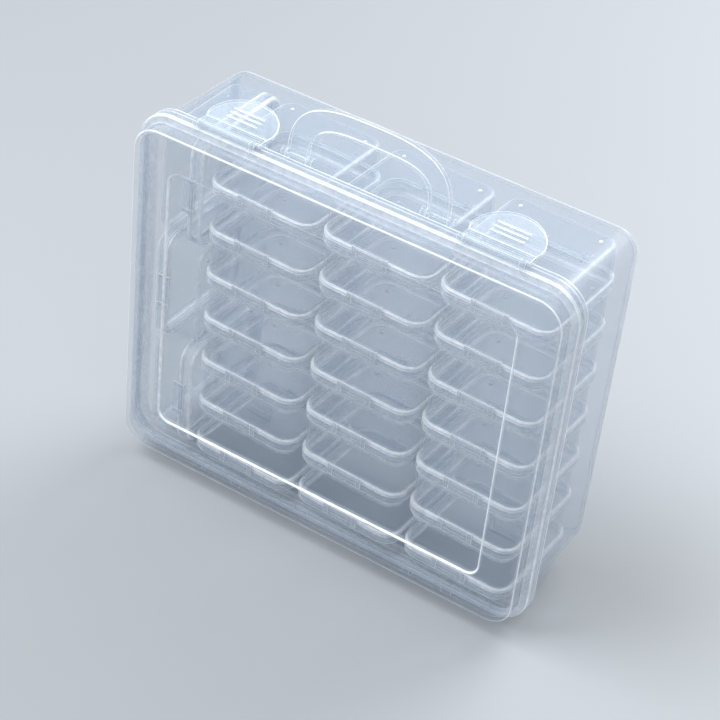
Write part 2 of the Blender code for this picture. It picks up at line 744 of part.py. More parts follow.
def box_places():
    """Where each small box stands: the middle of its foot, and its turns about Y and Z.

    The boxes in the columns lie lid down and a little askew. The ones on edge face right, left
    and right.
    """
    middle_y = FRONT_Y + CASE_WALL + FRONT_PLAY + CATCH_PROUD + BOX_HALF
    floor = CENTRE_Z - INNER_HEIGHT / 2 + FLOOR_GAP
    left = -INNER_WIDTH / 2 + LEFT_GAP
    places = []
    for k in range(BOXES_ON_EDGE):
        z = CENTRE_Z + ((BOXES_ON_EDGE - 1) / 2 - k) * EDGE_PITCH
        if k % 2:
            places.append((Vector((left + BOX_HEIGHT, middle_y, z)), -pi / 2, 0))
        else:
            places.append((Vector((left, middle_y, z)), pi / 2, 0))
    for column in range(COLUMNS):
        for row in range(ROWS):
            z = floor + (ROWS - row) * ROW_PITCH - REST_GAP
            places.append((Vector((column_x(column), middle_y, z)), pi, COLUMN_YAW))
    return places


def small_boxes(parts, tools, base_material, lid_material):
    base_mesh = box_base_mesh(tools, base_material)
    lid_mesh = box_lid_mesh(tools, lid_material)
    for number, (place, turn, yaw) in enumerate(box_places(), start=1):
        for piece, mesh in (("base", base_mesh), ("lid", lid_mesh)):
            item = add_object(f"small_box_{number:02d}_{piece}", mesh, parts)
            item.location = place
            item.rotation_euler = (0, turn, yaw)


def main():
    clear_scene()
    parts = make_collection("compartment_organizer_box")
    tools = make_collection("cutters")
    case_body(parts, tools, make_material("case_body_plastic", CLEAR, 0.30))
    case_lid(parts, tools, make_material("case_lid_plastic", CLEAR, 0.25))
    latches(parts, tools, make_material("latch_plastic", FROSTED, 0.35))
    carry_handle(parts, tools, make_material("handle_plastic", CLEAR, 0.28))
    small_boxes(
        parts,
        tools,
        make_material("box_base_plastic", CLEAR_BLUE, 0.30),
        make_material("box_lid_plastic", CLEAR, 0.30),
    )


main()
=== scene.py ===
import json
from math import cos, pi, radians, sin

import bmesh
import bpy
from bpy.props import FloatProperty, FloatVectorProperty, IntProperty, PointerProperty
from bpy.types import Operator, Panel, PropertyGroup
from mathutils import Matrix, Vector
from mathutils.geometry import convex_hull_2d


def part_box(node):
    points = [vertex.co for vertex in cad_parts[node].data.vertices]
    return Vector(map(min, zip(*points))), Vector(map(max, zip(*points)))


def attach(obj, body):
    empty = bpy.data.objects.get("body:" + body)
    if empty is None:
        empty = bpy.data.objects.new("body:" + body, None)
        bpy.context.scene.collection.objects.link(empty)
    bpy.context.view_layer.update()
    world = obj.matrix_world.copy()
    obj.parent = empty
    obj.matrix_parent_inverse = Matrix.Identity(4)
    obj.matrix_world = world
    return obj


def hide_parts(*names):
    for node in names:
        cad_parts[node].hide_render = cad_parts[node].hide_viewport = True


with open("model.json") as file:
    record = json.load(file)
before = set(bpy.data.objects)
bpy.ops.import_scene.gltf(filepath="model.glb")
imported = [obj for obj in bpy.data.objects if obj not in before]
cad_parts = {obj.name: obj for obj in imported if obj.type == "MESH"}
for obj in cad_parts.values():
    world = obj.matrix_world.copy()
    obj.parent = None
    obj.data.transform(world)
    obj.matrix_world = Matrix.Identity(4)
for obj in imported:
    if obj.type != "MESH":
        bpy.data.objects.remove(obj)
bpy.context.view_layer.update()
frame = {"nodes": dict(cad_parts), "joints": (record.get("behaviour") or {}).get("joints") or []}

bl_info = {
    "name": "Compartment organizer box",
    "version": (1, 0, 0),
    "blender": (4, 5, 0),
    "location": "3D View > Sidebar > Organizer",
    "description": "Builds a clear hinged carrying case that holds twenty-four small flip-top boxes",
    "category": "Object",
}

BODY_LOW, BODY_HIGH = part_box("case_body")
LID_LOW, LID_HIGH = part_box("case_lid")
JOINTS = {joint["name"]: Vector(joint["pos_m"]) for joint in frame["joints"]}
HINGE_AXIS = JOINTS["lid_hinge"]
LATCH_AXIS = JOINTS["latch_right_hinge"]
HANDLE_AXIS = JOINTS["handle_hinge"]
SMALL_BOX_NODES = sorted(name for name in frame["nodes"] if name.startswith("small_box"))
BASE_NODES = [name for name in SMALL_BOX_NODES if name.endswith("_base")]
LID_NODES = [name for name in SMALL_BOX_NODES if name.endswith("_lid")]

MM = 0.001
BEVEL_ABOVE = radians(28)  # edges sharper than this are rounded
SMOOTH_BELOW = radians(30)  # edges blunter than this are shaded smooth
ROUND_STEPS = 32  # sides of a round end or a rod
SHELL_CORNER_STEPS = 10  # steps round a corner of the case
BOX_CORNER_STEPS = 6  # steps round a corner of a small box
# Turns an outline in (a, b), pushed up along Z, to lie in (Y, Z) and to reach along X
ACROSS = Matrix(((0, 0, 1, 0), (1, 0, 0, 0), (0, 1, 0, 0), (0, 0, 0, 1)))
# The same, with a pointing out of a small box's front, toward -Y
ACROSS_FRONT = Matrix(((0, 0, 1, 0), (-1, 0, 0, 0), (0, 1, 0, 0), (0, 0, 0, 1)))


def size(name, description, default):
    return FloatProperty(
        name=name, description=description, default=default, min=0.0, subtype="DISTANCE", unit="LENGTH"
    )


def share(name, description, default):
    return FloatProperty(name=name, description=description, default=default, min=0.0, max=1.0)


def number(name, description, default):
    return FloatProperty(name=name, description=description, default=default, min=0.0)


def turn_of(name, description, degrees):
    return FloatProperty(name=name, description=description, default=radians(degrees), subtype="ANGLE")


def colour(name, description, default):
    return FloatVectorProperty(
        name=name, description=description, default=default, min=0.0, max=1.0, size=3, subtype="COLOR"
    )


class CaseSizes(PropertyGroup):
    """Sizes of the two shells of the case."""

    wall: size("Wall", "Thickness of the walls", 0.0014)
    draft: size("Draft", "Narrowing of each side toward the body's back", 0.0015)
    rim: size("Rim", "How far a rim stands out", 0.0031)
    rim_slope: size("Rim slope", "Depth of a rim's slope", 0.0006)
    corner: size("Corner radius", "Radius of the case's corners", 0.012)
    back_fillet: size("Back fillet", "Radius round the body's back", 0.003)
    back_inner_fillet: size("Inner back fillet", "The same inside the body", 0.0016)
    lid_fillet: size("Lid fillet", "Radius round the lid's face", 0.0008)
    lid_side: size("Lid side", "Depth from the lid's face to its rim", 0.0074)
    panel_margin: size("Panel margin", "Width of the border round the panel", 0.0178)
    panel_radius: size("Panel radius", "Radius of the panel's corners", 0.006)
    panel_depth: size("Panel depth", "How deep the panel is pressed in", 0.0008)
    panel_rise: size("Panel rise", "Height of the panel above the lid's middle", 0.002)


class FittingSizes(PropertyGroup):
    """Sizes of what is moulded on the shells: hinges, feet, lugs and ears."""

    gap: size("Gap", "Gap beside a piece that turns", 0.0003)
    root: size("Root", "How far a fitting reaches into its shell", 0.0008)
    hinge_place: size("Hinge place", "From the case's middle to a hinge", 0.055)
    barrel_half: size("Barrel half-length", "Half the length of a hinge's barrel", 0.008)
    hinge_ear: size("Hinge ear", "Thickness of an ear beside a barrel", 0.0045)
    hinge_pin: size("Hinge pin", "Radius of a hinge's pin", 0.001)
    hinge_pin_half: size("Hinge pin half-length", "Half the length of a hinge's pin", 0.0095)
    foot_place: size("Foot place", "From the case's middle to a foot", 0.07)
    foot_half: size("Foot half-width", "Half the width of a foot", 0.011)
    foot_depth: size("Foot depth", "Depth of a foot", 0.004)
    foot_inset: size("Foot inset", "From the case's back to a foot", 0.006)
    lug: size("Lug", "Thickness of a lug", 0.0022)
    latch_pin: size("Latch pin", "Radius of a latch's pin", 0.0009)
    handle_pin: size("Handle pin", "Radius of the handle's pins", 0.0011)


class SmallBoxSizes(PropertyGroup):
    """Sizes and places of the small boxes."""

    side: size("Side", "Width of a small box", 0.053)
    depth: size("Depth", "Its depth, from catch to hinge", 0.0562)
    height: size("Height", "Its height when closed", 0.0223)
    wall: size("Wall", "Thickness of its walls", 0.001)
    corner: size("Corner radius", "Outer radius of its corners", 0.008)
    least_corner: size("Least corner", "Least radius of an inner corner", 0.0015)
    lid_height: size("Lid height", "Height of its lid", 0.0053)
    flange: size("Flange", "How far a base's flange stands out", 0.0012)
    draft: size("Draft", "Narrowing of a side toward the foot", 0.0004)
    fillet: size("Fillet", "Radius round a box's foot and face", 0.0022)
    gap: size("Gap", "Gap between pieces that touch", 0.0003)
    catch_width: size("Catch width", "Width of a lid's catch", 0.017)
    catch_thickness: size("Catch thickness", "Thickness of the catch", 0.0009)
    catch_drop: size("Catch drop", "How far the catch hangs down", 0.002)
    catch_rib: size("Catch rib", "Width of a rib at the catch's ends", 0.0024)
    hinge_bar: size("Hinge bar", "Half the length of the bar behind a lid", 0.008)
    hinge_proud: size("Hinge depth", "How far the hinge stands out behind", 0.0015)
    hinge_ear: size("Hinge ear", "Width of an ear beside the hinge bar", 0.004)
    dot_spacing: size("Dot spacing", "Spacing of the dots under a base", 0.037)
    dot: size("Dot", "Radius of a dot", 0.0009)
    columns: IntProperty(name="Columns", description="Columns of boxes that lie flat", default=3, min=1)
    rows: IntProperty(name="Rows", description="Boxes in each column", default=7, min=1)
    on_edge: IntProperty(name="On edge", description="Boxes on edge, at the left", default=3, min=1)
    column_gap: size("Column gap", "Gap between two columns", 0.002)
    yaw: turn_of("Yaw", "How askew the columns lie", -2)


class LatchSizes(PropertyGroup):
    """Sizes of a latch and its finger tab."""

    width: size("Width", "Width of the latch", 0.03)
    barrel: size("Barrel radius", "Radius of the latch's barrel", 0.0019)
    plate: size("Plate", "Thickness of the plate over the rims", 0.0016)
    lap: size("Lap", "Overlap of the barrel's web and the plate", 0.001)
    hook: size("Hook", "Thickness of the hook", 0.0016)
    hook_play: size("Hook play", "Gap between the rim and the hook", 0.0005)
    hook_depth: size("Hook depth", "How far the hook reaches down", 0.0024)
    tab_width: size("Tab width", "Width of the finger tab", 0.032)
    tab_length: size("Tab length", "Length of the tab", 0.018)
    tab_straight: size("Tab straight", "Length of the tab before its oval", 0.003)
    tab_root: size("Tab root", "How far the tab reaches into the plate", 0.001)
    tab_thickness: size("Tab thickness", "Thickness of the tab", 0.0014)
    tab_tilt: turn_of("Tab tilt", "Slope of the tab", 10)
    ribs: IntProperty(name="Grip ribs", description="Ribs across the tab", default=3, min=0)
    first_rib: size("First rib", "From the tab's root to its first rib", 0.0035)
    rib_pitch: size("Rib pitch", "Distance between two ribs", 0.0027)
    rib_half: size("Rib half-length", "Half the length of a rib", 0.0075)
    rib_width: size("Rib width", "Width of a rib", 0.001)
    rib_height: size("Rib height", "How far a rib stands up", 0.0006)


class HandleSizes(PropertyGroup):
    """Sizes of the carrying handle."""

    width: size("Width", "Outer width of the handle", 0.0752)
    reach: size("Reach", "From the pivot to the grip's outer edge", 0.0277)
    leg: size("Leg width", "Width of a leg", 0.0097)
    grip: size("Grip width", "Width of the grip between the legs", 0.0101)
    thickness: size("Thickness", "Thickness of the handle", 0.0024)
    squareness: number("Squareness", "Outer arch: 2 is an ellipse, more is squarer", 3.0)
    inner_squareness: number("Inner squareness", "The same for the inner arch", 3.7)
    knuckle: size("Knuckle radius", "Radius of the legs' round feet", 0.0022)
    raised: turn_of("Raised", "Angle of the raised handle", 87)


class PlasticLook(PropertyGroup):
    """Colours and clearness of the moulded plastic, and the colour and opacity of its painted highlight."""

    tint: colour("Tint", "Colour of a clear wall", (0.27, 0.38, 0.52))
    box_tint: colour("Box tint", "Colour of a small box's clear walls", (0.43, 0.52, 0.63))
    milky: colour("Milky tint", "Colour of the thicker plastic", (0.58, 0.67, 0.76))
    # The edge colour is a painted highlight along edges and at glancing angles.
    edge: colour("Edge colour", "Colour of the bright edges", (0.92, 0.96, 1.00))
    case_haze: share("Case haze", "How opaque a wall of the case is", 0.065)
    box_haze: share("Box haze", "How opaque a wall of a small box is", 0.06)
    fitting_haze: share("Fitting haze", "How opaque a fitting is", 0.1)
    latch_haze: share("Latch haze", "How opaque a latch is", 0.2)
    handle_haze: share("Handle haze", "How opaque the handle is", 0.09)
    # How opaque the painted highlight along an edge is.
    highlight_haze: share("Edge haze", "How opaque an edge is", 0.8)
    roughness: share("Roughness", "Roughness of the plastic", 0.22)
    lid_roughness: share("Lid roughness", "Roughness of a small box's lid", 0.25)


class StageLook(PropertyGroup):
    """The floor, the lights and the sky."""

    floor: colour("Floor", "Colour of the floor", (0.35, 0.37, 0.39))
    lamp: colour("Lamps", "Colour of the lamps", (0.97, 0.98, 1.0))
    sky: colour("Sky colour", "Colour of the plain sky", (0.93, 0.96, 1.0))
    key_power: number("Key light", "Its power in watts", 18.0)
    fill_power: number("Fill light", "Its power in watts", 4.0)
    back_power: number("Back light", "Its power in watts", 14.0)
    world: share("Sky", "Strength of the plain sky", 0.45)


def add_node(tree, kind, settings, inputs):
    """Adds a node with settings, then with its input values or links."""
    made = tree.nodes.new(kind)
    for key, setting in settings.items():
        setattr(made, key, setting)
    for key, given in inputs.items():
        if isinstance(given, bpy.types.NodeSocket):
            tree.links.new(given, made.inputs[key])
        else:
            made.inputs[key].default_value = given
    return made


class Value:
    """A socket of a material's nodes, with the arithmetic that finishes use."""

    def __init__(self, finish, socket):
        self.finish = finish
        self.socket = socket

    def maths(self, operation, other):
        return self.finish.node("ShaderNodeMath", {"operation": operation}, {0: self, 1: other})

    def __add__(self, other):
        return self.maths("ADD", other)

    def __sub__(self, other):
        return self.maths("SUBTRACT", other)

    def __mul__(self, other):
        return self.maths("MULTIPLY", other)

    def __pow__(self, other):
        return self.maths("POWER", other)

    def clamp(self):
        return self.finish.node("ShaderNodeClamp", {}, {0: self})


class Finish:
    """A material under construction."""

    def __init__(self, name):
        self.material = bpy.data.materials.new(name)
        self.material.use_nodes = True
        self.tree = self.material.node_tree
        self.tree.nodes.clear()
        self.place = self.node("ShaderNodeTexCoord", {}, {}, "Object")

    def node(self, kind, settings, inputs, output=0):
        inputs = {key: getattr(given, "socket", given) for key, given in inputs.items()}
        return Value(self, add_node(self.tree, kind, settings, inputs).outputs[output])

    def noise(self, waves, detail, swirl=0.0):
        """Noise with so many waves in a metre."""
        settings = {"Vector": self.place, "Scale": waves, "Detail": detail, "Distortion": swirl}
        return self.node("ShaderNodeTexNoise", {}, settings)

    def mix_colours(self, part, first, second):
        return self.node(
            "ShaderNodeMix", {"data_type": "RGBA"}, {0: part, 6: (*first, 1.0), 7: (*second, 1.0)}, 2
        )

    def surface(self, inputs):
        shader = self.node("ShaderNodeBsdfPrincipled", {}, inputs).socket
        add_node(self.tree, "ShaderNodeOutputMaterial", {}, {"Surface": shader})
        return self.material


FLOW_WAVES = 34.0  # flow marks in a metre
HIGHLIGHT_MOTTLE_WAVES = 260.0  # mottles of the painted highlight along an edge, in a metre
PAINTED_GLANCE_POWER = 5.0  # how sharply the colour brightens into a painted highlight at a glancing angle
GLANCING_RISE = 4.0  # how sharply a wall grows opaque there
GLANCING_HAZE = 0.55  # how opaque it grows
HAZE_CHANGE = 0.03  # how the haze follows the flow marks
GLOSS_CHANGE = 0.12  # how the roughness follows them
MARK_HEIGHT = 0.6 * MM
MARK_STRENGTH = 0.04


# The haze, the tint and the roughness of each finish, by their names in PlasticLook
FINISHES = {
    "clear_case": ("case_haze", "tint", "roughness"),
    "clear_fittings": ("fitting_haze", "milky", "roughness"),
    "clear_bases": ("box_haze", "box_tint", "roughness"),
    "clear_lids": ("box_haze", "box_tint", "lid_roughness"),
    "clear_latches": ("latch_haze", "milky", "roughness"),
    "clear_handle": ("handle_haze", "milky", "roughness"),
}


def clear_plastic(name):
    """Moulded polypropylene: hazy clear walls and faint flow marks, with a mottled painted highlight along
    the edges and at glancing angles.
    """
    look = bpy.context.scene.organizer_plastic
    haze, tint, roughness = [getattr(look, key) for key in FINISHES[name]]
    finish = Finish(name)
    edge = finish.node("ShaderNodeAttribute", {"attribute_name": "edge"}, {}, "Fac")
    facing = finish.node("ShaderNodeLayerWeight", {}, {"Blend": 0.5}, "Facing")
    flow = finish.noise(FLOW_WAVES, 3.0, 0.6)
    marks = flow - 0.5
    highlight_mottle = marks * 0.5 + (finish.noise(HIGHLIGHT_MOTTLE_WAVES, 1.0) - 0.5) * 1.1 + 1.0
    # Painted highlight: the colour turns toward the near-white edge colour where the edge attribute is high
    # and at glancing angles.
    bright = (edge + facing**PAINTED_GLANCE_POWER).clamp()
    # The painted highlight is made opaque, with mottles, so that it shows. Walls also grow more opaque at a
    # glancing angle.
    alpha = edge**2.0 * highlight_mottle * (look.highlight_haze - haze)
    alpha = alpha + facing**GLANCING_RISE * GLANCING_HAZE + marks * HAZE_CHANGE + haze
    return finish.surface(
        {
            "Base Color": finish.mix_colours(bright, tint, look.edge),
            "Roughness": (marks * GLOSS_CHANGE + roughness).clamp(),
            "Alpha": alpha.clamp(),
            "Normal": finish.node(
                "ShaderNodeBump", {}, {"Strength": MARK_STRENGTH, "Distance": MARK_HEIGHT, "Height": flow}
            ),
            "IOR": 1.49,
        }
    )


def finish_for(name):
    """The finish of that name, made once."""
    return bpy.data.materials.get(name) or clear_plastic(name)


def added(name, data):
    """An object of that data, put in the scene."""
    item = bpy.data.objects.new(name, data)
    bpy.context.scene.collection.objects.link(item)
    return item


# Mesh tools. The float attribute "edge" says how strong the painted highlight is at each corner of a face.


def rounded(half_a, half_b, radius, steps):
    points = []
    for quarter, (side_a, side_b) in enumerate(((1, 1), (-1, 1), (-1, -1), (1, -1))):
        for step in range(steps + 1):
            angle = (quarter + step / steps) * pi / 2
            a = side_a * (half_a - radius) + radius * cos(angle)
            b = side_b * (half_b - radius) + radius * sin(angle)
            points.append((a, b))
    return points


def new_bmesh():
    bm = bmesh.new()
    bm.loops.layers.float.new("edge")
    return bm


def loft(bm, rings, steps, place):
    """Adds a closed solid through rounded rectangles: (along, half_a, half_b, radius, edge, rise), where
    edge is the strength of its painted highlight.
    """
    layer = bm.loops.layers.float["edge"]
    level = {}
    loops = []
    for along, half_a, half_b, radius, edge, rise in rings:
        loop = [bm.verts.new(place(a, b + rise, along)) for a, b in rounded(half_a, half_b, radius, steps)]
        level.update({vertex: edge for vertex in loop})
        loops.append(loop)
    faces = [bm.faces.new(loops[0]), bm.faces.new(loops[-1])]
    for inner, outer in zip(loops, loops[1:]):
        for k, vertex in enumerate(inner):
            faces.append(bm.faces.new((vertex, inner[k - 1], outer[k - 1], outer[k])))
    bmesh.ops.recalc_face_normals(bm, faces=faces)
    for face in faces:
        face.smooth = True
        for corner in face.loops:
            corner[layer] = level[corner.vert]


def add_bevelled(bm, piece, width, segments=2, matrix=None, level=0.0):
    """Adds a solid to bm, with a painted highlight as strong as level on its faces, and its sharp edges
    rounded and given a full painted highlight.
    """
    if width:
        sharp = [e for e in piece.edges if len(e.link_faces) == 2 and e.calc_face_angle() > BEVEL_ABOVE]
        bmesh.ops.bevel(
            piece, geom=sharp, offset=width, segments=segments, profile=0.5, affect="EDGES", material=1
        )
    if matrix:
        bmesh.ops.transform(piece, matrix=matrix, verts=piece.verts)
    piece.normal_update()
    layer = piece.loops.layers.float.new("edge")
    for face in piece.faces:
        face.smooth = True
        for corner in face.loops:
            # A bevelled face gets a full painted highlight. The other faces get as much as level.
            corner[layer] = max(level, float(face.material_index))
        face.material_index = 0
    mesh = bpy.data.meshes.new("part")
    piece.to_mesh(mesh)
    piece.free()
    bm.from_mesh(mesh)
    bpy.data.meshes.remove(mesh)


def prism(bm, outline, low, high, width, segments=2, matrix=None, level=0.0):
    """Adds an outline pushed up from low to high, with its edges rounded and marked with a painted
    highlight.
    """
    piece = bmesh.new()
    base = piece.faces.new([piece.verts.new((a, b, low)) for a, b in outline])
    moved = bmesh.ops.extrude_face_region(piece, geom=[base])
    top = [v for v in moved["geom"] if isinstance(v, bmesh.types.BMVert)]
    bmesh.ops.translate(piece, verts=top, vec=(0, 0, high - low))
    bmesh.ops.recalc_face_normals(piece, faces=piece.faces)
    add_bevelled(bm, piece, width, segments, matrix, level)


def add_block(bm, low, high, width, matrix=None, level=0.0):
    low, high = Vector(low), Vector(high)
    piece = bmesh.new()
    place = Matrix.Translation((low + high) / 2) @ Matrix.Diagonal((*(high - low), 1))
    bmesh.ops.create_cube(piece, size=1, matrix=place)
    add_bevelled(bm, piece, width, 2, matrix, level)


def add_rod(bm, axis, radius, start_x, end_x, segments=ROUND_STEPS, width=0.0):
    piece = bmesh.new()
    place = Matrix.Translation(((start_x + end_x) / 2, axis.y, axis.z)) @ Matrix.Rotation(pi / 2, 4, "Y")
    length = abs(end_x - start_x)
    bmesh.ops.create_cone(
        piece, cap_ends=True, segments=segments, radius1=radius, radius2=radius, depth=length, matrix=place
    )
    add_bevelled(bm, piece, width)


def round_ended(a, b, radius, root):
    """The outline of a plate with a round end about (a, b) and a root of two points."""
    angles = [2 * pi * k / ROUND_STEPS for k in range(ROUND_STEPS)]
    points = [(a + radius * cos(angle), b + radius * sin(angle)) for angle in angles] + list(root)
    return [points[k] for k in convex_hull_2d(points)]


def add_lug(bm, axis, radius, root, start_x, end_x):
    """A plate across X with a round end about the axis and a flat root: two points (y, z)."""
    outline = round_ended(axis.y, axis.z, radius, root)
    prism(bm, outline, min(start_x, end_x), max(start_x, end_x), 0.15 * MM, 2, ACROSS)


def finished(name, bm, material):
    """A piece at the origin, smooth but for its sharp corners."""
    mesh = bpy.data.meshes.new(name)
    bm.to_mesh(mesh)
    bm.free()
    mesh.set_sharp_from_angle(angle=SMOOTH_BELOW)
    mesh.materials.append(material)
    return added(name, mesh)


def upright(a, b, along):
    return Vector((a, b, along))


def round_over(radius, steps, edge):
    """Steps round an edge: (depth below its face, distance in from its wall, strength of the painted
    highlight).
    """
    rows = []
    for step in range(steps + 1):
        angle = step / steps * pi / 2
        # The painted highlight peaks halfway round the edge.
        bright = edge * (0.35 + 0.65 * sin(2 * angle))
        rows.append((radius * (1 - cos(angle)), radius * (1 - sin(angle)), bright))
    return rows


def fillet(along, direction, half_a, half_b, corner, radius, steps, edge):
    """Rings round the edge between a flat face at along and the wall behind it, with a painted highlight as
    strong as edge.
    """
    return [
        (along + direction * depth, half_a - inset, half_b - inset, corner - inset, bright, 0)
        for depth, inset, bright in round_over(radius, steps, edge)
    ]


# Sections of the two rims, from the wall out, over the mouth and back along the inside. Each row: a place,
# how far toward the other place, a surface, how far out of it (in mm), and the strength of the painted
# highlight there.
RIM_MOUTH = (
    ("mouth", 0.15, "rim", -0.18, 1.0),
    ("mouth", 0, "rim", -0.5, 1.0),
    ("mouth", 0, "inside of rim", 0.2, 0.9),
    ("mouth", 0.2, "inside of rim", 0, 0.6),
    ("root", 2.2, "inside of rim", 0, 0.3),
    ("root", 1.9, "inside of rim", -0.3, 0.6),
    ("root", 1.5, "inside of wall", 0.4, 0.5),
    ("root", 1.2, "inside of wall", 0, 0.6),
)
BODY_RIM = (
    ("root", -0.5, "wall", 0, 0.3),
    ("root", -0.1, "wall", 0.05, 0.8),
    ("root", 0.1, "wall", 0.5, 0.7),
    ("root", 0.5, "rim", -0.7, 0.6),
    ("root", 0.75, "rim", -0.25, 0.95),
    ("root", 1.2, "rim", 0, 0.9),
    ("root", 2.0, "rim", 0, 0.35),
    ("mouth", 1.3, "rim", 0, 0.35),
    ("mouth", 0.6, "rim", 0, 0.9),
    *RIM_MOUTH,
    ("root", -0.5, "inside of wall", 0, 0.1),
)
LID_RIM = (
    ("root", -1.2, "wall", 0, 0.1),
    ("root", -0.4, "wall", 0, 0.4),
    ("root", -0.05, "wall", 0.05, 0.8),
    ("root", 0.15, "wall", 0.5, 0.7),
    ("root", 0.55, "rim", -0.6, 0.6),
    ("root", 0.8, "rim", -0.2, 0.95),
    ("root", 1.2, "rim", 0, 0.9),
    ("root", 1.8, "rim", 0, 0.35),
    ("mouth", 1.2, "rim", 0, 0.35),
    ("mouth", 0.6, "rim", 0, 0.9),
    *RIM_MOUTH,
)


class CasePlaces:
    """Places on the case that follow from the CAD model and the sizes."""

    def __init__(self, scene):
        case, gap = scene.organizer_case, scene.organizer_fittings.gap
        self.case = case
        over_handle = scene.organizer_handle.knuckle + gap
        self.front, self.back = LID_LOW.y, BODY_HIGH.y
        self.seam, self.body_front = LID_HIGH.y, BODY_LOW.y
        self.lid_rim = self.front + case.lid_side
        self.rim_back = HANDLE_AXIS.y - over_handle
        self.top = HANDLE_AXIS.z - over_handle
        self.rim_top = LATCH_AXIS.z - scene.organizer_latch.barrel - gap
        self.rim_bottom = 2 * HINGE_AXIS.z + gap
        self.half_width = BODY_HIGH.x - case.rim
        self.half_height = (self.rim_top - self.rim_bottom) / 2 - case.rim
        self.centre = (self.rim_top + self.rim_bottom) / 2

    def ring(self, y, out, edge):
        """A ring that lies this far out of the case's walls, with a painted highlight as strong as edge."""
        return (y, self.half_width + out, self.half_height + out, self.case.corner + out, edge, 0)

    def rim(self, section, root, mouth):
        """Rings of a rim whose root and mouth lie at these places along Y."""
        toward = 1 if mouth > root else -1
        starts = {"root": (root, toward), "mouth": (mouth, -toward)}
        rim, wall = self.case.rim, self.case.wall
        surfaces = {"wall": 0, "rim": rim, "inside of rim": rim - wall, "inside of wall": -wall}
        rings = []
        for start, further, surface, out, edge in section:
            y, way = starts[start]
            rings.append(self.ring(y + way * further * MM, surfaces[surface] + out * MM, edge))
        return rings

    def shell(self, name, rings):
        """A shell of the case, from rings about its middle."""
        bm = new_bmesh()
        loft(bm, rings, SHELL_CORNER_STEPS, lambda a, b, along: Vector((a, along, self.centre + b)))
        return finished(name, bm, finish_for("clear_case"))


def add_fittings(scene, place, body, makers):
    """Builds the fittings that are moulded on a shell and move with it."""
    for name, maker in makers:
        bm = new_bmesh()
        maker(bm, place, scene)
        piece = finished(name, bm, finish_for("clear_fittings"))
        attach(piece, body)


class ORGANIZER_OT_case_body(Operator):
    """Build the deep shell of the case, with its stepped rim, hinge ears, feet and handle lugs"""

    bl_idname = "organizer.case_body"
    bl_label = "Case body"

    def execute(self, context):
        place, case = CasePlaces(context.scene), context.scene.organizer_case
        depth = place.back - place.rim_back

        def wall(y, edge, inside=0.0):
            draft = case.draft * max(y - place.rim_back, 0) / depth
            return place.ring(y, -draft - inside, edge)

        wide, high = place.half_width - case.draft, place.half_height - case.draft
        corner, round_back, inner = case.corner - case.draft, case.back_fillet, place.back - case.wall
        flat, fade = round_back + 9 * MM, round_back + 1.5 * MM
        # The fifth number of each ring is its painted highlight, strongest round the back fillet and along
        # the rim.
        rings = [
            (place.back, wide - flat, high - flat, 2 * MM, 0, 0),
            (place.back, wide - fade, high - fade, corner - round_back + 1 * MM, 0.05, 0),
        ]
        rings += fillet(place.back, -1, wide, high, corner, round_back, 6, 0.9)
        rings += [wall(place.back - fade, 0.08), wall(0.0, 0.0), wall(place.rim_back + 2 * MM, 0.05)]
        rings += place.rim(BODY_RIM, place.rim_back, place.body_front)
        rings += [wall(0.0, 0.0, case.wall), wall(inner - 3 * MM, 0.05, case.wall)]
        turned = fillet(
            inner, -1, wide - case.wall, high - case.wall, corner - case.wall, case.back_inner_fillet, 4, 0.6
        )
        rings += turned[::-1]
        rings.append((inner, wide - flat, high - flat, 2 * MM, 0, 0))
        shell = place.shell("clear_case_body", rings)
        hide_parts("case_body")
        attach(shell, "case")
        makers = [("body_hinge_ears", self.hinge_ears), ("case_feet", self.feet)]
        add_fittings(context.scene, place, "case", makers + [("handle_lugs", self.handle_lugs)])
        return {"FINISHED"}

    def hinge_ears(self, bm, place, scene):
        fittings, radius = scene.organizer_fittings, HINGE_AXIS.z
        root_z = place.rim_bottom + fittings.root
        rim_end = place.rim_back - scene.organizer_case.rim_slope
        root = ((place.body_front + radius, root_z), (rim_end, root_z))
        for middle in (-fittings.hinge_place, fittings.hinge_place):
            for hand in (-1, 1):
                start = middle + hand * (fittings.barrel_half + fittings.gap)
                add_lug(bm, HINGE_AXIS, radius, root, start, start + hand * fittings.hinge_ear)
            half = fittings.hinge_pin_half
            add_rod(bm, HINGE_AXIS, fittings.hinge_pin, middle - half, middle + half, 24)

    def feet(self, bm, place, scene):
        case, fittings = scene.organizer_case, scene.organizer_fittings
        back, half = place.back - fittings.foot_inset, fittings.foot_half
        top = place.rim_bottom + case.rim + case.draft + fittings.root
        for middle in (-fittings.foot_place, fittings.foot_place):
            low = (middle - half, back - fittings.foot_depth, 0)
            add_block(bm, low, (middle + half, back, top), 0.5 * MM)

    def handle_lugs(self, bm, place, scene):
        handle, fittings = scene.organizer_handle, scene.organizer_fittings
        root_z = place.top - fittings.root
        half, outer = handle.knuckle + fittings.gap, handle.width / 2
        root = ((HANDLE_AXIS.y - half, root_z), (HANDLE_AXIS.y + half, root_z))
        for side in (-1, 1):
            for face, hand in ((outer, 1), (outer - handle.leg, -1)):
                start = side * (face + hand * fittings.gap)
                end = start + side * hand * fittings.lug
                add_lug(bm, HANDLE_AXIS, handle.knuckle, root, start, end)


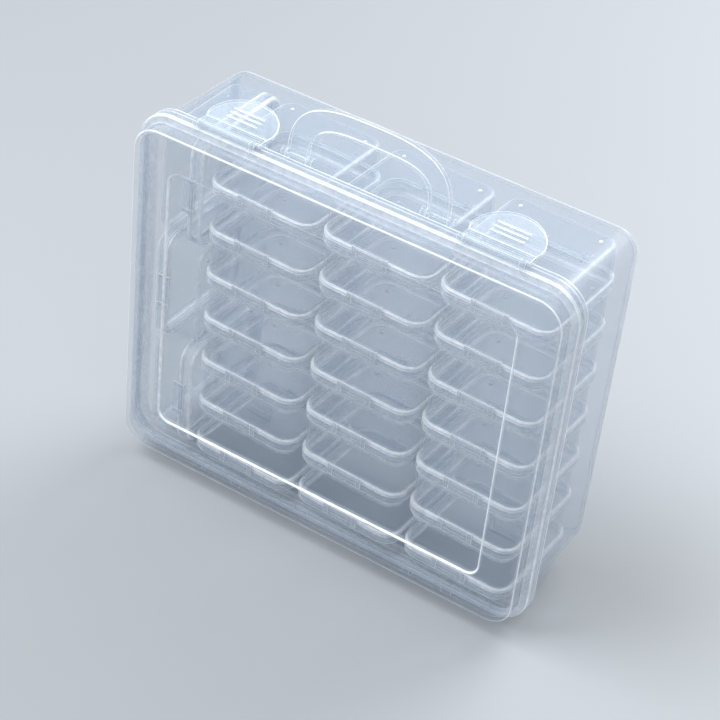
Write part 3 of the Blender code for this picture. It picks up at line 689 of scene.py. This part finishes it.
class ORGANIZER_OT_case_lid(Operator):
    """Build the shallow shell of the lid, with its pressed panel, rim, hinge barrels and latch ears"""

    bl_idname = "organizer.case_lid"
    bl_label = "Case lid"

    def execute(self, context):
        place, case = CasePlaces(context.scene), context.scene.organizer_case
        front, inner, pressed = place.front, place.front + case.wall, place.front + case.panel_depth
        wide, high, edge_round = place.half_width, place.half_height, case.lid_fillet

        def panel(y, inward, edge):
            less = case.panel_margin + inward * MM
            radius = max(case.panel_radius - inward * MM, 1 * MM)
            return (y, wide - less, high - less, radius, edge, case.panel_rise)

        # The third number given to panel is its painted highlight, strongest along the pressed step of the
        # panel and round the face fillet.
        rings = [
            panel(pressed, 8, 0),
            panel(pressed, 1.3, 0.05),
            panel(pressed, 0.65, 0.6),
            panel(pressed - 0.08 * MM, 0.48, 1.0),
            panel(front + 0.08 * MM, 0.06, 1.0),
            panel(front, -0.12, 0.9),
            panel(front, -0.8, 0.05),
            place.ring(front, -edge_round - 4 * MM, 0),
            place.ring(front, -edge_round - 0.5 * MM, 0.2),
        ]
        rings += fillet(front, 1, wide, high, case.corner, edge_round, 4, 1.0)
        rings.append(place.ring(front + edge_round + 0.8 * MM, 0, 0.1))
        rings += place.rim(LID_RIM, place.lid_rim, place.seam)
        turned = fillet(
            inner, 1, wide - case.wall, high - case.wall, case.corner - case.wall, edge_round, 3, 0.7
        )
        rings += turned[::-1]
        rings += [
            place.ring(inner, -case.wall - 5 * MM, 0),
            panel(inner, -0.8, 0.05),
            panel(inner + 0.05 * MM, -0.2, 0.5),
            panel(pressed + case.wall, 0.5, 0.5),
            panel(pressed + case.wall, 1.5, 0),
            panel(pressed + case.wall, 8, 0),
        ]
        shell = place.shell("clear_case_lid", rings)
        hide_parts("case_lid")
        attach(shell, "lid")
        makers = [("lid_hinge_barrels", self.barrels), ("lid_latch_ears", self.latch_ears)]
        add_fittings(context.scene, place, "lid", makers)
        return {"FINISHED"}

    def barrels(self, bm, place, scene):
        fittings, radius = scene.organizer_fittings, HINGE_AXIS.z
        root_z, half = place.rim_bottom + fittings.root, fittings.barrel_half
        root = ((place.seam - radius, root_z), (place.lid_rim + scene.organizer_case.rim_slope, root_z))
        for middle in (-fittings.hinge_place, fittings.hinge_place):
            add_lug(bm, HINGE_AXIS, radius, root, middle - half, middle + half)

    def latch_ears(self, bm, place, scene):
        latch, fittings = scene.organizer_latch, scene.organizer_fittings
        root_z, half = place.rim_top - fittings.root, latch.width / 2
        root = ((LATCH_AXIS.y - latch.barrel, root_z), (place.seam, root_z))
        for middle in (-LATCH_AXIS.x, LATCH_AXIS.x):
            for hand in (-1, 1):
                outer = middle + hand * half
                add_lug(bm, LATCH_AXIS, latch.barrel, root, outer, outer - hand * fittings.lug)
            reach = half - fittings.lug / 2
            add_rod(bm, LATCH_AXIS, fittings.latch_pin, middle - reach, middle + reach, 20)


def grown(name, tree, values):
    """A plain mesh object from a geometry tree, with its inputs set by name."""
    carrier = added(name + "_carrier", bpy.data.meshes.new(name + "_carrier"))
    modifier = carrier.modifiers.new(name, "NODES")
    modifier.node_group = tree
    for item in tree.interface.items_tree:
        if item.in_out == "INPUT" and item.name in values:
            modifier[item.identifier] = values[item.name]
    bpy.context.view_layer.update()
    evaluated = carrier.evaluated_get(bpy.context.evaluated_depsgraph_get())
    mesh = bpy.data.meshes.new_from_object(evaluated)
    mesh.name = name
    bpy.data.objects.remove(carrier)
    return added(name, mesh)


def box_layout_tree():
    """Places a box in columns, lid down, and in a pile on edge that faces each way in turn."""
    tree = bpy.data.node_groups.new("Small box layout", "GeometryNodeTree")
    tree.interface.new_socket("Geometry", in_out="OUTPUT", socket_type="NodeSocketGeometry")
    places = ("First Place", "Column Step", "Row Step", "Column Turn", "First On Edge", "On Edge Step")
    for kind, labels in (
        ("Object", ("Box",)),
        ("Material", ("Finish",)),
        ("Int", ("Columns", "Rows", "On Edge")),
        ("Vector", places),
        ("Float", ("On Edge Shift",)),
    ):
        for label in labels:
            tree.interface.new_socket(label, in_out="INPUT", socket_type="NodeSocket" + kind)
    given = tree.nodes.new("NodeGroupInput").outputs

    def node(kind, inputs, **settings):
        outputs = add_node(tree, kind, settings, inputs).outputs
        return next(output for output in outputs if output.enabled)

    def line(count, offset, start=(0, 0, 0)):
        inputs = {"Count": count, "Start Location": start, "Offset": offset}
        return node("GeometryNodeMeshLine", inputs, mode="OFFSET")

    def instances(points, piece, turn=(0, 0, 0)):
        inputs = {"Points": points, "Instance": piece, "Rotation": turn}
        return node("GeometryNodeInstanceOnPoints", inputs)

    asked = {"Object": given["Box"], "As Instance": True}
    box = add_node(tree, "GeometryNodeObjectInfo", {}, asked).outputs["Geometry"]
    across = line(given["Columns"], given["Column Step"], given["First Place"])
    grid = instances(across, line(given["Rows"], given["Row Step"]))
    points = node("GeometryNodeRealizeInstances", {"Geometry": grid})
    flat = instances(points, box, given["Column Turn"])
    pile = line(given["On Edge"], given["On Edge Step"], given["First On Edge"])
    index = node("GeometryNodeInputIndex", {})
    odd = node("ShaderNodeMath", {0: index, 1: 2.0}, operation="MODULO")
    shift = node("ShaderNodeMath", {0: odd, 1: given["On Edge Shift"]}, operation="MULTIPLY")
    aside = node("ShaderNodeCombineXYZ", {"X": shift})
    placed = node("GeometryNodeSetPosition", {"Geometry": pile, "Offset": aside})
    lean = node("ShaderNodeMath", {0: odd, 1: -pi, 2: pi / 2}, operation="MULTIPLY_ADD")
    edgewise = instances(placed, box, node("ShaderNodeCombineXYZ", {"Y": lean}))

    both = tree.nodes.new("GeometryNodeJoinGeometry")
    tree.links.new(flat, both.inputs[0])
    tree.links.new(edgewise, both.inputs[0])
    real = node("GeometryNodeRealizeInstances", {"Geometry": both.outputs[0]})
    done = node("GeometryNodeSetMaterial", {"Geometry": real, "Material": given["Finish"]})
    tree.links.new(done, tree.nodes.new("NodeGroupOutput").inputs[0])
    return tree


class ORGANIZER_OT_small_boxes(Operator):
    """Build the small flip-top boxes and set them out in the case"""

    bl_idname = "organizer.small_boxes"
    bl_label = "Small boxes"

    def execute(self, context):
        box, tree = context.scene.organizer_box, box_layout_tree()
        column = box.side + box.column_gap
        edge_low, edge_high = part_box(BASE_NODES[0])
        last_low, last_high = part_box(BASE_NODES[-1])
        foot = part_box(BASE_NODES[box.on_edge])[1].z
        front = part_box(LID_NODES[0])[0].y + box.gap + box.catch_thickness
        first_x = (last_low.x + last_high.x) / 2 - (box.columns - 1) * column
        middle_y = front + box.depth / 2
        values = {
            "Columns": box.columns,
            "Rows": box.rows,
            "On Edge": box.on_edge,
            "First Place": (first_x, middle_y, foot),
            "Column Step": (column, 0, 0),
            "Row Step": (0, 0, -box.height - box.gap),
            "Column Turn": (0, pi, box.yaw),
            "First On Edge": (edge_low.x, middle_y, (edge_low.z + edge_high.z) / 2),
            "On Edge Step": (0, 0, -box.side - box.gap),
            "On Edge Shift": box.height,
        }
        for name, maker, nodes, look, slot in (
            ("clear_small_box_bases", self.base, BASE_NODES, "clear_bases", "small_base_plastic"),
            ("clear_small_box_lids", self.lid, LID_NODES, "clear_lids", "small_lid_plastic"),
        ):
            bm, material = new_bmesh(), finish_for(look)
            maker(bm, box)
            sample = finished(name + "_sample", bm, material)
            piece = grown(name, tree, {**values, "Box": sample, "Finish": material})
            bpy.data.objects.remove(sample)
            if not piece.data.polygons:
                raise RuntimeError(f"{name} came out empty")
            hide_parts(*nodes)
            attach(piece, "case")
        return {"FINISHED"}

    def rings(self, box, rows):
        """Rings of a small box from rows: height, distance in from its sides, strength of the painted
        highlight.
        """
        half, half_depth, least = box.side / 2, box.depth / 2, box.least_corner
        return [
            (along, half - less, half_depth - less, max(box.corner - less, least), edge, 0)
            for along, less, edge in rows
        ]

    def base(self, bm, box):
        top = box.height - box.lid_height - box.gap
        mouth = top - box.wall
        wall, foot = box.flange, box.flange + box.draft
        t, f = box.wall, box.fillet
        # The painted highlight is strongest round the foot fillet, the mouth and the top of the flange.
        rows = [(0, foot + f + 5 * MM, 0), (0, foot + f + 0.8 * MM, 0.1)]
        rows += [(depth, foot + inset, bright) for depth, inset, bright in round_over(f, 4, 0.75)]
        rows += [
            (f + 1.0 * MM, foot - 0.05 * MM, 0.08),
            (mouth - 2.4 * MM, wall + 0.05 * MM, 0.05),
            (mouth - 0.5 * MM, wall, 0.5),
            (mouth, wall - 0.15 * MM, 0.9),
            (mouth, 0.25 * MM, 0.9),
            (mouth + 0.25 * MM, 0, 0.9),
            (top - 0.2 * MM, 0, 0.9),
            (top, 0.2 * MM, 1.0),
            (top, wall + t - 0.2 * MM, 0.8),
            (top - 0.2 * MM, wall + t, 0.7),
            (mouth - 1.5 * MM, wall + t, 0.05),
            (t + 1.8 * MM, foot + t, 0.05),
            (t + 0.5 * MM, foot + t + 0.4 * MM, 0.5),
            (t, foot + t + 1.2 * MM, 0.4),
            (t, foot + t + 2.2 * MM, 0),
            (t, foot + 8 * MM, 0),
        ]
        loft(bm, self.rings(box, rows), BOX_CORNER_STEPS, upright)
        self.dots(bm, box)
        ear_start, back = box.hinge_bar + box.gap, box.depth / 2
        for start in (-ear_start - box.hinge_ear, ear_start):
            low = (start, back - t, mouth - 1.5 * MM)
            add_block(bm, low, (start + box.hinge_ear, back + box.hinge_proud, top), 0.2 * MM)

    def dots(self, bm, box):
        """The four round dots that the mould leaves under a base."""
        half, straight = box.dot_spacing / 2, 2 * box.corner
        reach = half * (box.depth - straight) / (box.side - straight)
        for x in (-half, half):
            for y in (-reach, reach):
                piece = bmesh.new()
                place = Matrix.Translation((x, y, 0.1 * MM)) @ Matrix.Rotation(pi, 4, "X")
                radii = {"radius1": box.dot, "radius2": box.dot - 0.1 * MM}
                bmesh.ops.create_cone(
                    piece, cap_ends=True, segments=12, depth=0.5 * MM, matrix=place, **radii
                )
                # Each dot gets a full painted highlight.
                add_bevelled(bm, piece, 0.0, level=1.0)

    def lid(self, bm, box):
        t, f, top = box.wall, box.fillet, box.height
        skirt = top - box.lid_height
        # The painted highlight is strongest round the face fillet and the lower edge of the skirt.
        rows = [(top, f + 6 * MM, 0), (top, f + 0.8 * MM, 0.1)]
        rows += [(top - depth, inset, bright) for depth, inset, bright in round_over(f, 4, 1.0)]
        rows += [
            (top - f - 0.4 * MM, 0, 0.5),
            (skirt + 0.7 * MM, 0, 0.5),
            (skirt + 0.2 * MM, 0, 0.9),
            (skirt, 0.2 * MM, 1.0),
            (skirt, t - 0.2 * MM, 0.9),
            (skirt + 0.2 * MM, t, 0.7),
            (skirt + 1.2 * MM, t, 0.15),
            (top - t - 1.6 * MM, t, 0.15),
            (top - t - 0.45 * MM, t + 0.5 * MM, 0.6),
            (top - t, t + 1.6 * MM, 0.4),
            (top - t, t + 2.6 * MM, 0),
            (top - t, 9 * MM, 0),
        ]
        loft(bm, self.rings(box, rows), BOX_CORNER_STEPS, upright)
        wall_middle = box.depth / 2 - t / 2
        face = box.depth / 2 + box.gap
        proud = face + box.catch_thickness
        low_z, high_z = skirt - box.gap - t - box.catch_drop, top - f - 1 * MM
        shoulder = skirt + box.gap
        outline = [(wall_middle, high_z), (proud, high_z), (proud, low_z)]
        outline += [(face, low_z), (face, shoulder), (wall_middle, shoulder)]
        half, rib = box.catch_width / 2, box.catch_rib
        # The catch gets a painted highlight of 0.4 and its ribs 0.5, besides the full painted highlight on
        # their bevels.
        prism(bm, outline, -half, half, 0.15 * MM, 2, ACROSS_FRONT, 0.4)
        for start in (-half, half - rib):
            low = (start, -proud - 0.15 * MM, low_z)
            add_block(bm, low, (start + rib, -proud + 0.2 * MM, high_z), 0.15 * MM, None, 0.5)
        bar, behind = box.hinge_bar, box.depth / 2 + box.hinge_proud
        add_block(bm, (-bar, wall_middle, skirt), (bar, behind, skirt + 3 * MM), 0.3 * MM)


class ORGANIZER_OT_latches(Operator):
    """Build both latches: barrel, plate over the rims, hook and ribbed finger tab"""

    bl_idname = "organizer.latches"
    bl_label = "Latches"

    def execute(self, context):
        material = finish_for("clear_latches")
        for node, side in (("latch_left", -1), ("latch_right", 1)):
            bm = new_bmesh()
            self.build(bm, context.scene, Vector((side * LATCH_AXIS.x, LATCH_AXIS.y, LATCH_AXIS.z)))
            piece = finished("clear_" + node, bm, material)
            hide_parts(node)
            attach(piece, node)
        return {"FINISHED"}

    def build(self, bm, scene, centre):
        latch, fittings = scene.organizer_latch, scene.organizer_fittings
        r, half = latch.barrel, latch.width / 2
        under, top = -r, -r + latch.plate
        start = r + fittings.gap
        hook_start = CasePlaces(scene).rim_back + latch.hook_play - centre.y
        hook_end, hook_foot = hook_start + latch.hook, under - latch.hook_depth
        move = Matrix.Translation(centre)

        inner, web = half - fittings.lug - fittings.gap, start + latch.lap
        barrel = round_ended(0, 0, r, ((web, under), (web, top)))
        prism(bm, barrel, -inner, inner, 0.12 * MM, 2, move @ ACROSS)
        plate = [(start, under), (hook_start, under), (hook_start, hook_foot)]
        plate += [(hook_end, hook_foot), (hook_end, top), (start, top)]
        prism(bm, plate, -half, half, 0.2 * MM, 2, move @ ACROSS)

        tab = [(-half, 0), (half, 0)]
        straight, oval = latch.tab_straight, latch.tab_length - latch.tab_straight
        steps = 28
        for step in range(steps + 1):
            angle = pi * step / steps
            tab.append((latch.tab_width / 2 * cos(angle), straight + oval * sin(angle)))
        foot = Matrix.Translation((0, hook_end - latch.tab_root, top - latch.tab_thickness))
        lift = move @ foot @ Matrix.Rotation(latch.tab_tilt, 4, "X")
        prism(bm, tab, 0, latch.tab_thickness, 0.3 * MM, 3, lift)
        low_z, high_z = latch.tab_thickness / 2, latch.tab_thickness + latch.rib_height
        for rib in range(latch.ribs):
            y = latch.first_rib + rib * latch.rib_pitch
            low = (-latch.rib_half, y, low_z)
            add_block(bm, low, (latch.rib_half, y + latch.rib_width, high_z), 0.3 * MM, lift)


class ORGANIZER_OT_handle(Operator):
    """Build the flat carrying handle with its knuckles and pins"""

    bl_idname = "organizer.handle"
    bl_label = "Carrying handle"

    def execute(self, context):
        handle, fittings = context.scene.organizer_handle, context.scene.organizer_fittings
        outer, inner = handle.width / 2, handle.width / 2 - handle.leg
        outside = self.arch(outer, handle.reach, handle.squareness)
        inside = self.arch(inner, handle.reach - handle.grip, handle.inner_squareness)
        outline = outside + [(-x, y) for x, y in outside[-2::-1]]
        outline += [(-x, y) for x, y in inside] + inside[-2::-1]
        place = Matrix.Translation(HANDLE_AXIS) @ Matrix.Rotation(handle.raised, 4, "X")
        bm = new_bmesh()
        half, pin_reach = handle.thickness / 2, fittings.gap + fittings.lug
        prism(bm, outline, -half, half, 0.35 * MM, 3, place)
        for side in (-1, 1):
            add_rod(bm, HANDLE_AXIS, handle.knuckle, side * inner, side * outer, width=0.2 * MM)
            start, end = side * (inner - pin_reach), side * (outer + pin_reach)
            add_rod(bm, HANDLE_AXIS, fittings.handle_pin, start, end, 24, 0.1 * MM)
        piece = finished("clear_carry_handle", bm, finish_for("clear_handle"))
        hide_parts("carry_handle")
        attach(piece, "handle")
        return {"FINISHED"}

    def arch(self, half_width, reach, squareness):
        """Points from a leg's foot over the bow to its middle, at x = 0."""
        points, steps, power = [], 24, 2 / squareness
        for step in range(steps):
            angle = pi / 2 * step / steps
            points.append((half_width * cos(angle) ** power, reach * sin(angle) ** power))
        return points + [(0.0, reach)]


# The photograph's camera, solved on points of the case. Its place is measured from the lid's face.
CAMERA_RIGHT = Vector((0.83660885, 0.54007478, 0.09167805))
CAMERA_DOWN = Vector((0.39322228, -0.47554637, -0.78691289))
CAMERA_FORWARD = Vector((-0.38139464, 0.69438814, -0.61021574))
CAMERA_PLACE = Vector((0.34654457, -0.60205533, 0.54776984))
CAMERA_LENS, CAMERA_SENSOR = 107.86, 36.0  # mm
CAMERA_SHIFT = (0.0004, -0.0008)
LAMP_TARGET = Vector((0, 0, 0.09))


class ORGANIZER_OT_stage(Operator):
    """Set up the plain floor, the soft lights and the camera"""

    bl_idname = "organizer.stage"
    bl_label = "Stage"

    def execute(self, context):
        scene, look = context.scene, context.scene.organizer_stage
        scene.view_settings.view_transform = "Standard"
        scene.cycles.transparent_max_bounces = 64
        scene.cycles.max_bounces = 4
        scene.cycles.diffuse_bounces = 2
        scene.cycles.glossy_bounces = 2
        self.floor(look)
        self.light(scene, look)
        self.camera(scene)
        return {"FINISHED"}

    def floor(self, look):
        finish = Finish("pale_floor")
        shade = finish.mix_colours(
            finish.noise(6.0, 4.0), [c * 0.99 for c in look.floor], [min(1, c * 1.01) for c in look.floor]
        )
        bpy.ops.mesh.primitive_plane_add(size=12.0, location=(0, 0, 0))
        floor = bpy.context.object
        floor.name = "floor"
        floor.data.materials.append(finish.surface({"Base Color": shade, "Roughness": 0.55}))

    def light(self, scene, look):
        world = bpy.data.worlds.new("plain_sky")
        scene.world = world
        world.use_nodes = True
        backing = world.node_tree.nodes["Background"]
        backing.inputs["Color"].default_value = (*look.sky, 1.0)
        backing.inputs["Strength"].default_value = look.world
        for name, spot, width, power in (
            ("key_light", (-0.55, -0.35, 1.15), 0.8, look.key_power),
            ("fill_light", (0.9, -0.9, 0.6), 0.7, look.fill_power),
            ("back_light", (0.25, 0.95, 0.75), 0.7, look.back_power),
        ):
            lamp = bpy.data.lights.new(name, "AREA")
            lamp.size = width
            lamp.energy = power
            lamp.color = look.lamp
            item = added(name, lamp)
            item.location = spot
            item.rotation_euler = (LAMP_TARGET - Vector(spot)).to_track_quat("-Z", "Y").to_euler()

    def camera(self, scene):
        lens = bpy.data.cameras.new("camera")
        lens.lens, lens.sensor_width = CAMERA_LENS, CAMERA_SENSOR
        lens.shift_x, lens.shift_y = CAMERA_SHIFT
        camera = added("camera", lens)
        turn = Matrix((CAMERA_RIGHT, -CAMERA_DOWN, -CAMERA_FORWARD)).transposed()
        spot = CAMERA_PLACE + Vector((0, LID_LOW.y, CasePlaces(scene).centre))
        camera.matrix_world = Matrix.Translation(spot) @ turn.to_4x4()
        scene.camera = camera


class ORGANIZER_PT_pieces(Panel):
    """Lists the pieces of the organizer box"""

    bl_idname = "ORGANIZER_PT_pieces"
    bl_label = "Organizer box"
    bl_space_type = "VIEW_3D"
    bl_region_type = "UI"
    bl_category = "Organizer"

    def draw(self, context):
        for operator in OPERATORS:
            self.layout.operator(operator.bl_idname)


GROUPS = (
    ("organizer_case", CaseSizes),
    ("organizer_fittings", FittingSizes),
    ("organizer_box", SmallBoxSizes),
    ("organizer_latch", LatchSizes),
    ("organizer_handle", HandleSizes),
    ("organizer_plastic", PlasticLook),
    ("organizer_stage", StageLook),
)
OPERATORS = (
    ORGANIZER_OT_case_body,
    ORGANIZER_OT_case_lid,
    ORGANIZER_OT_small_boxes,
    ORGANIZER_OT_latches,
    ORGANIZER_OT_handle,
    ORGANIZER_OT_stage,
)


def register():
    for name, group in GROUPS:
        bpy.utils.register_class(group)
        setattr(bpy.types.Scene, name, PointerProperty(type=group))
    for entry in OPERATORS + (ORGANIZER_PT_pieces,):
        bpy.utils.register_class(entry)


def unregister():
    for entry in reversed(OPERATORS + (ORGANIZER_PT_pieces,)):
        bpy.utils.unregister_class(entry)
    for name, group in reversed(GROUPS):
        delattr(bpy.types.Scene, name)
        bpy.utils.unregister_class(group)


def main():
    register()
    bpy.ops.organizer.case_body()
    bpy.ops.organizer.case_lid()
    bpy.ops.organizer.small_boxes()
    bpy.ops.organizer.latches()
    bpy.ops.organizer.handle()
    bpy.ops.organizer.stage()


if __name__ == "__main__":
    main()
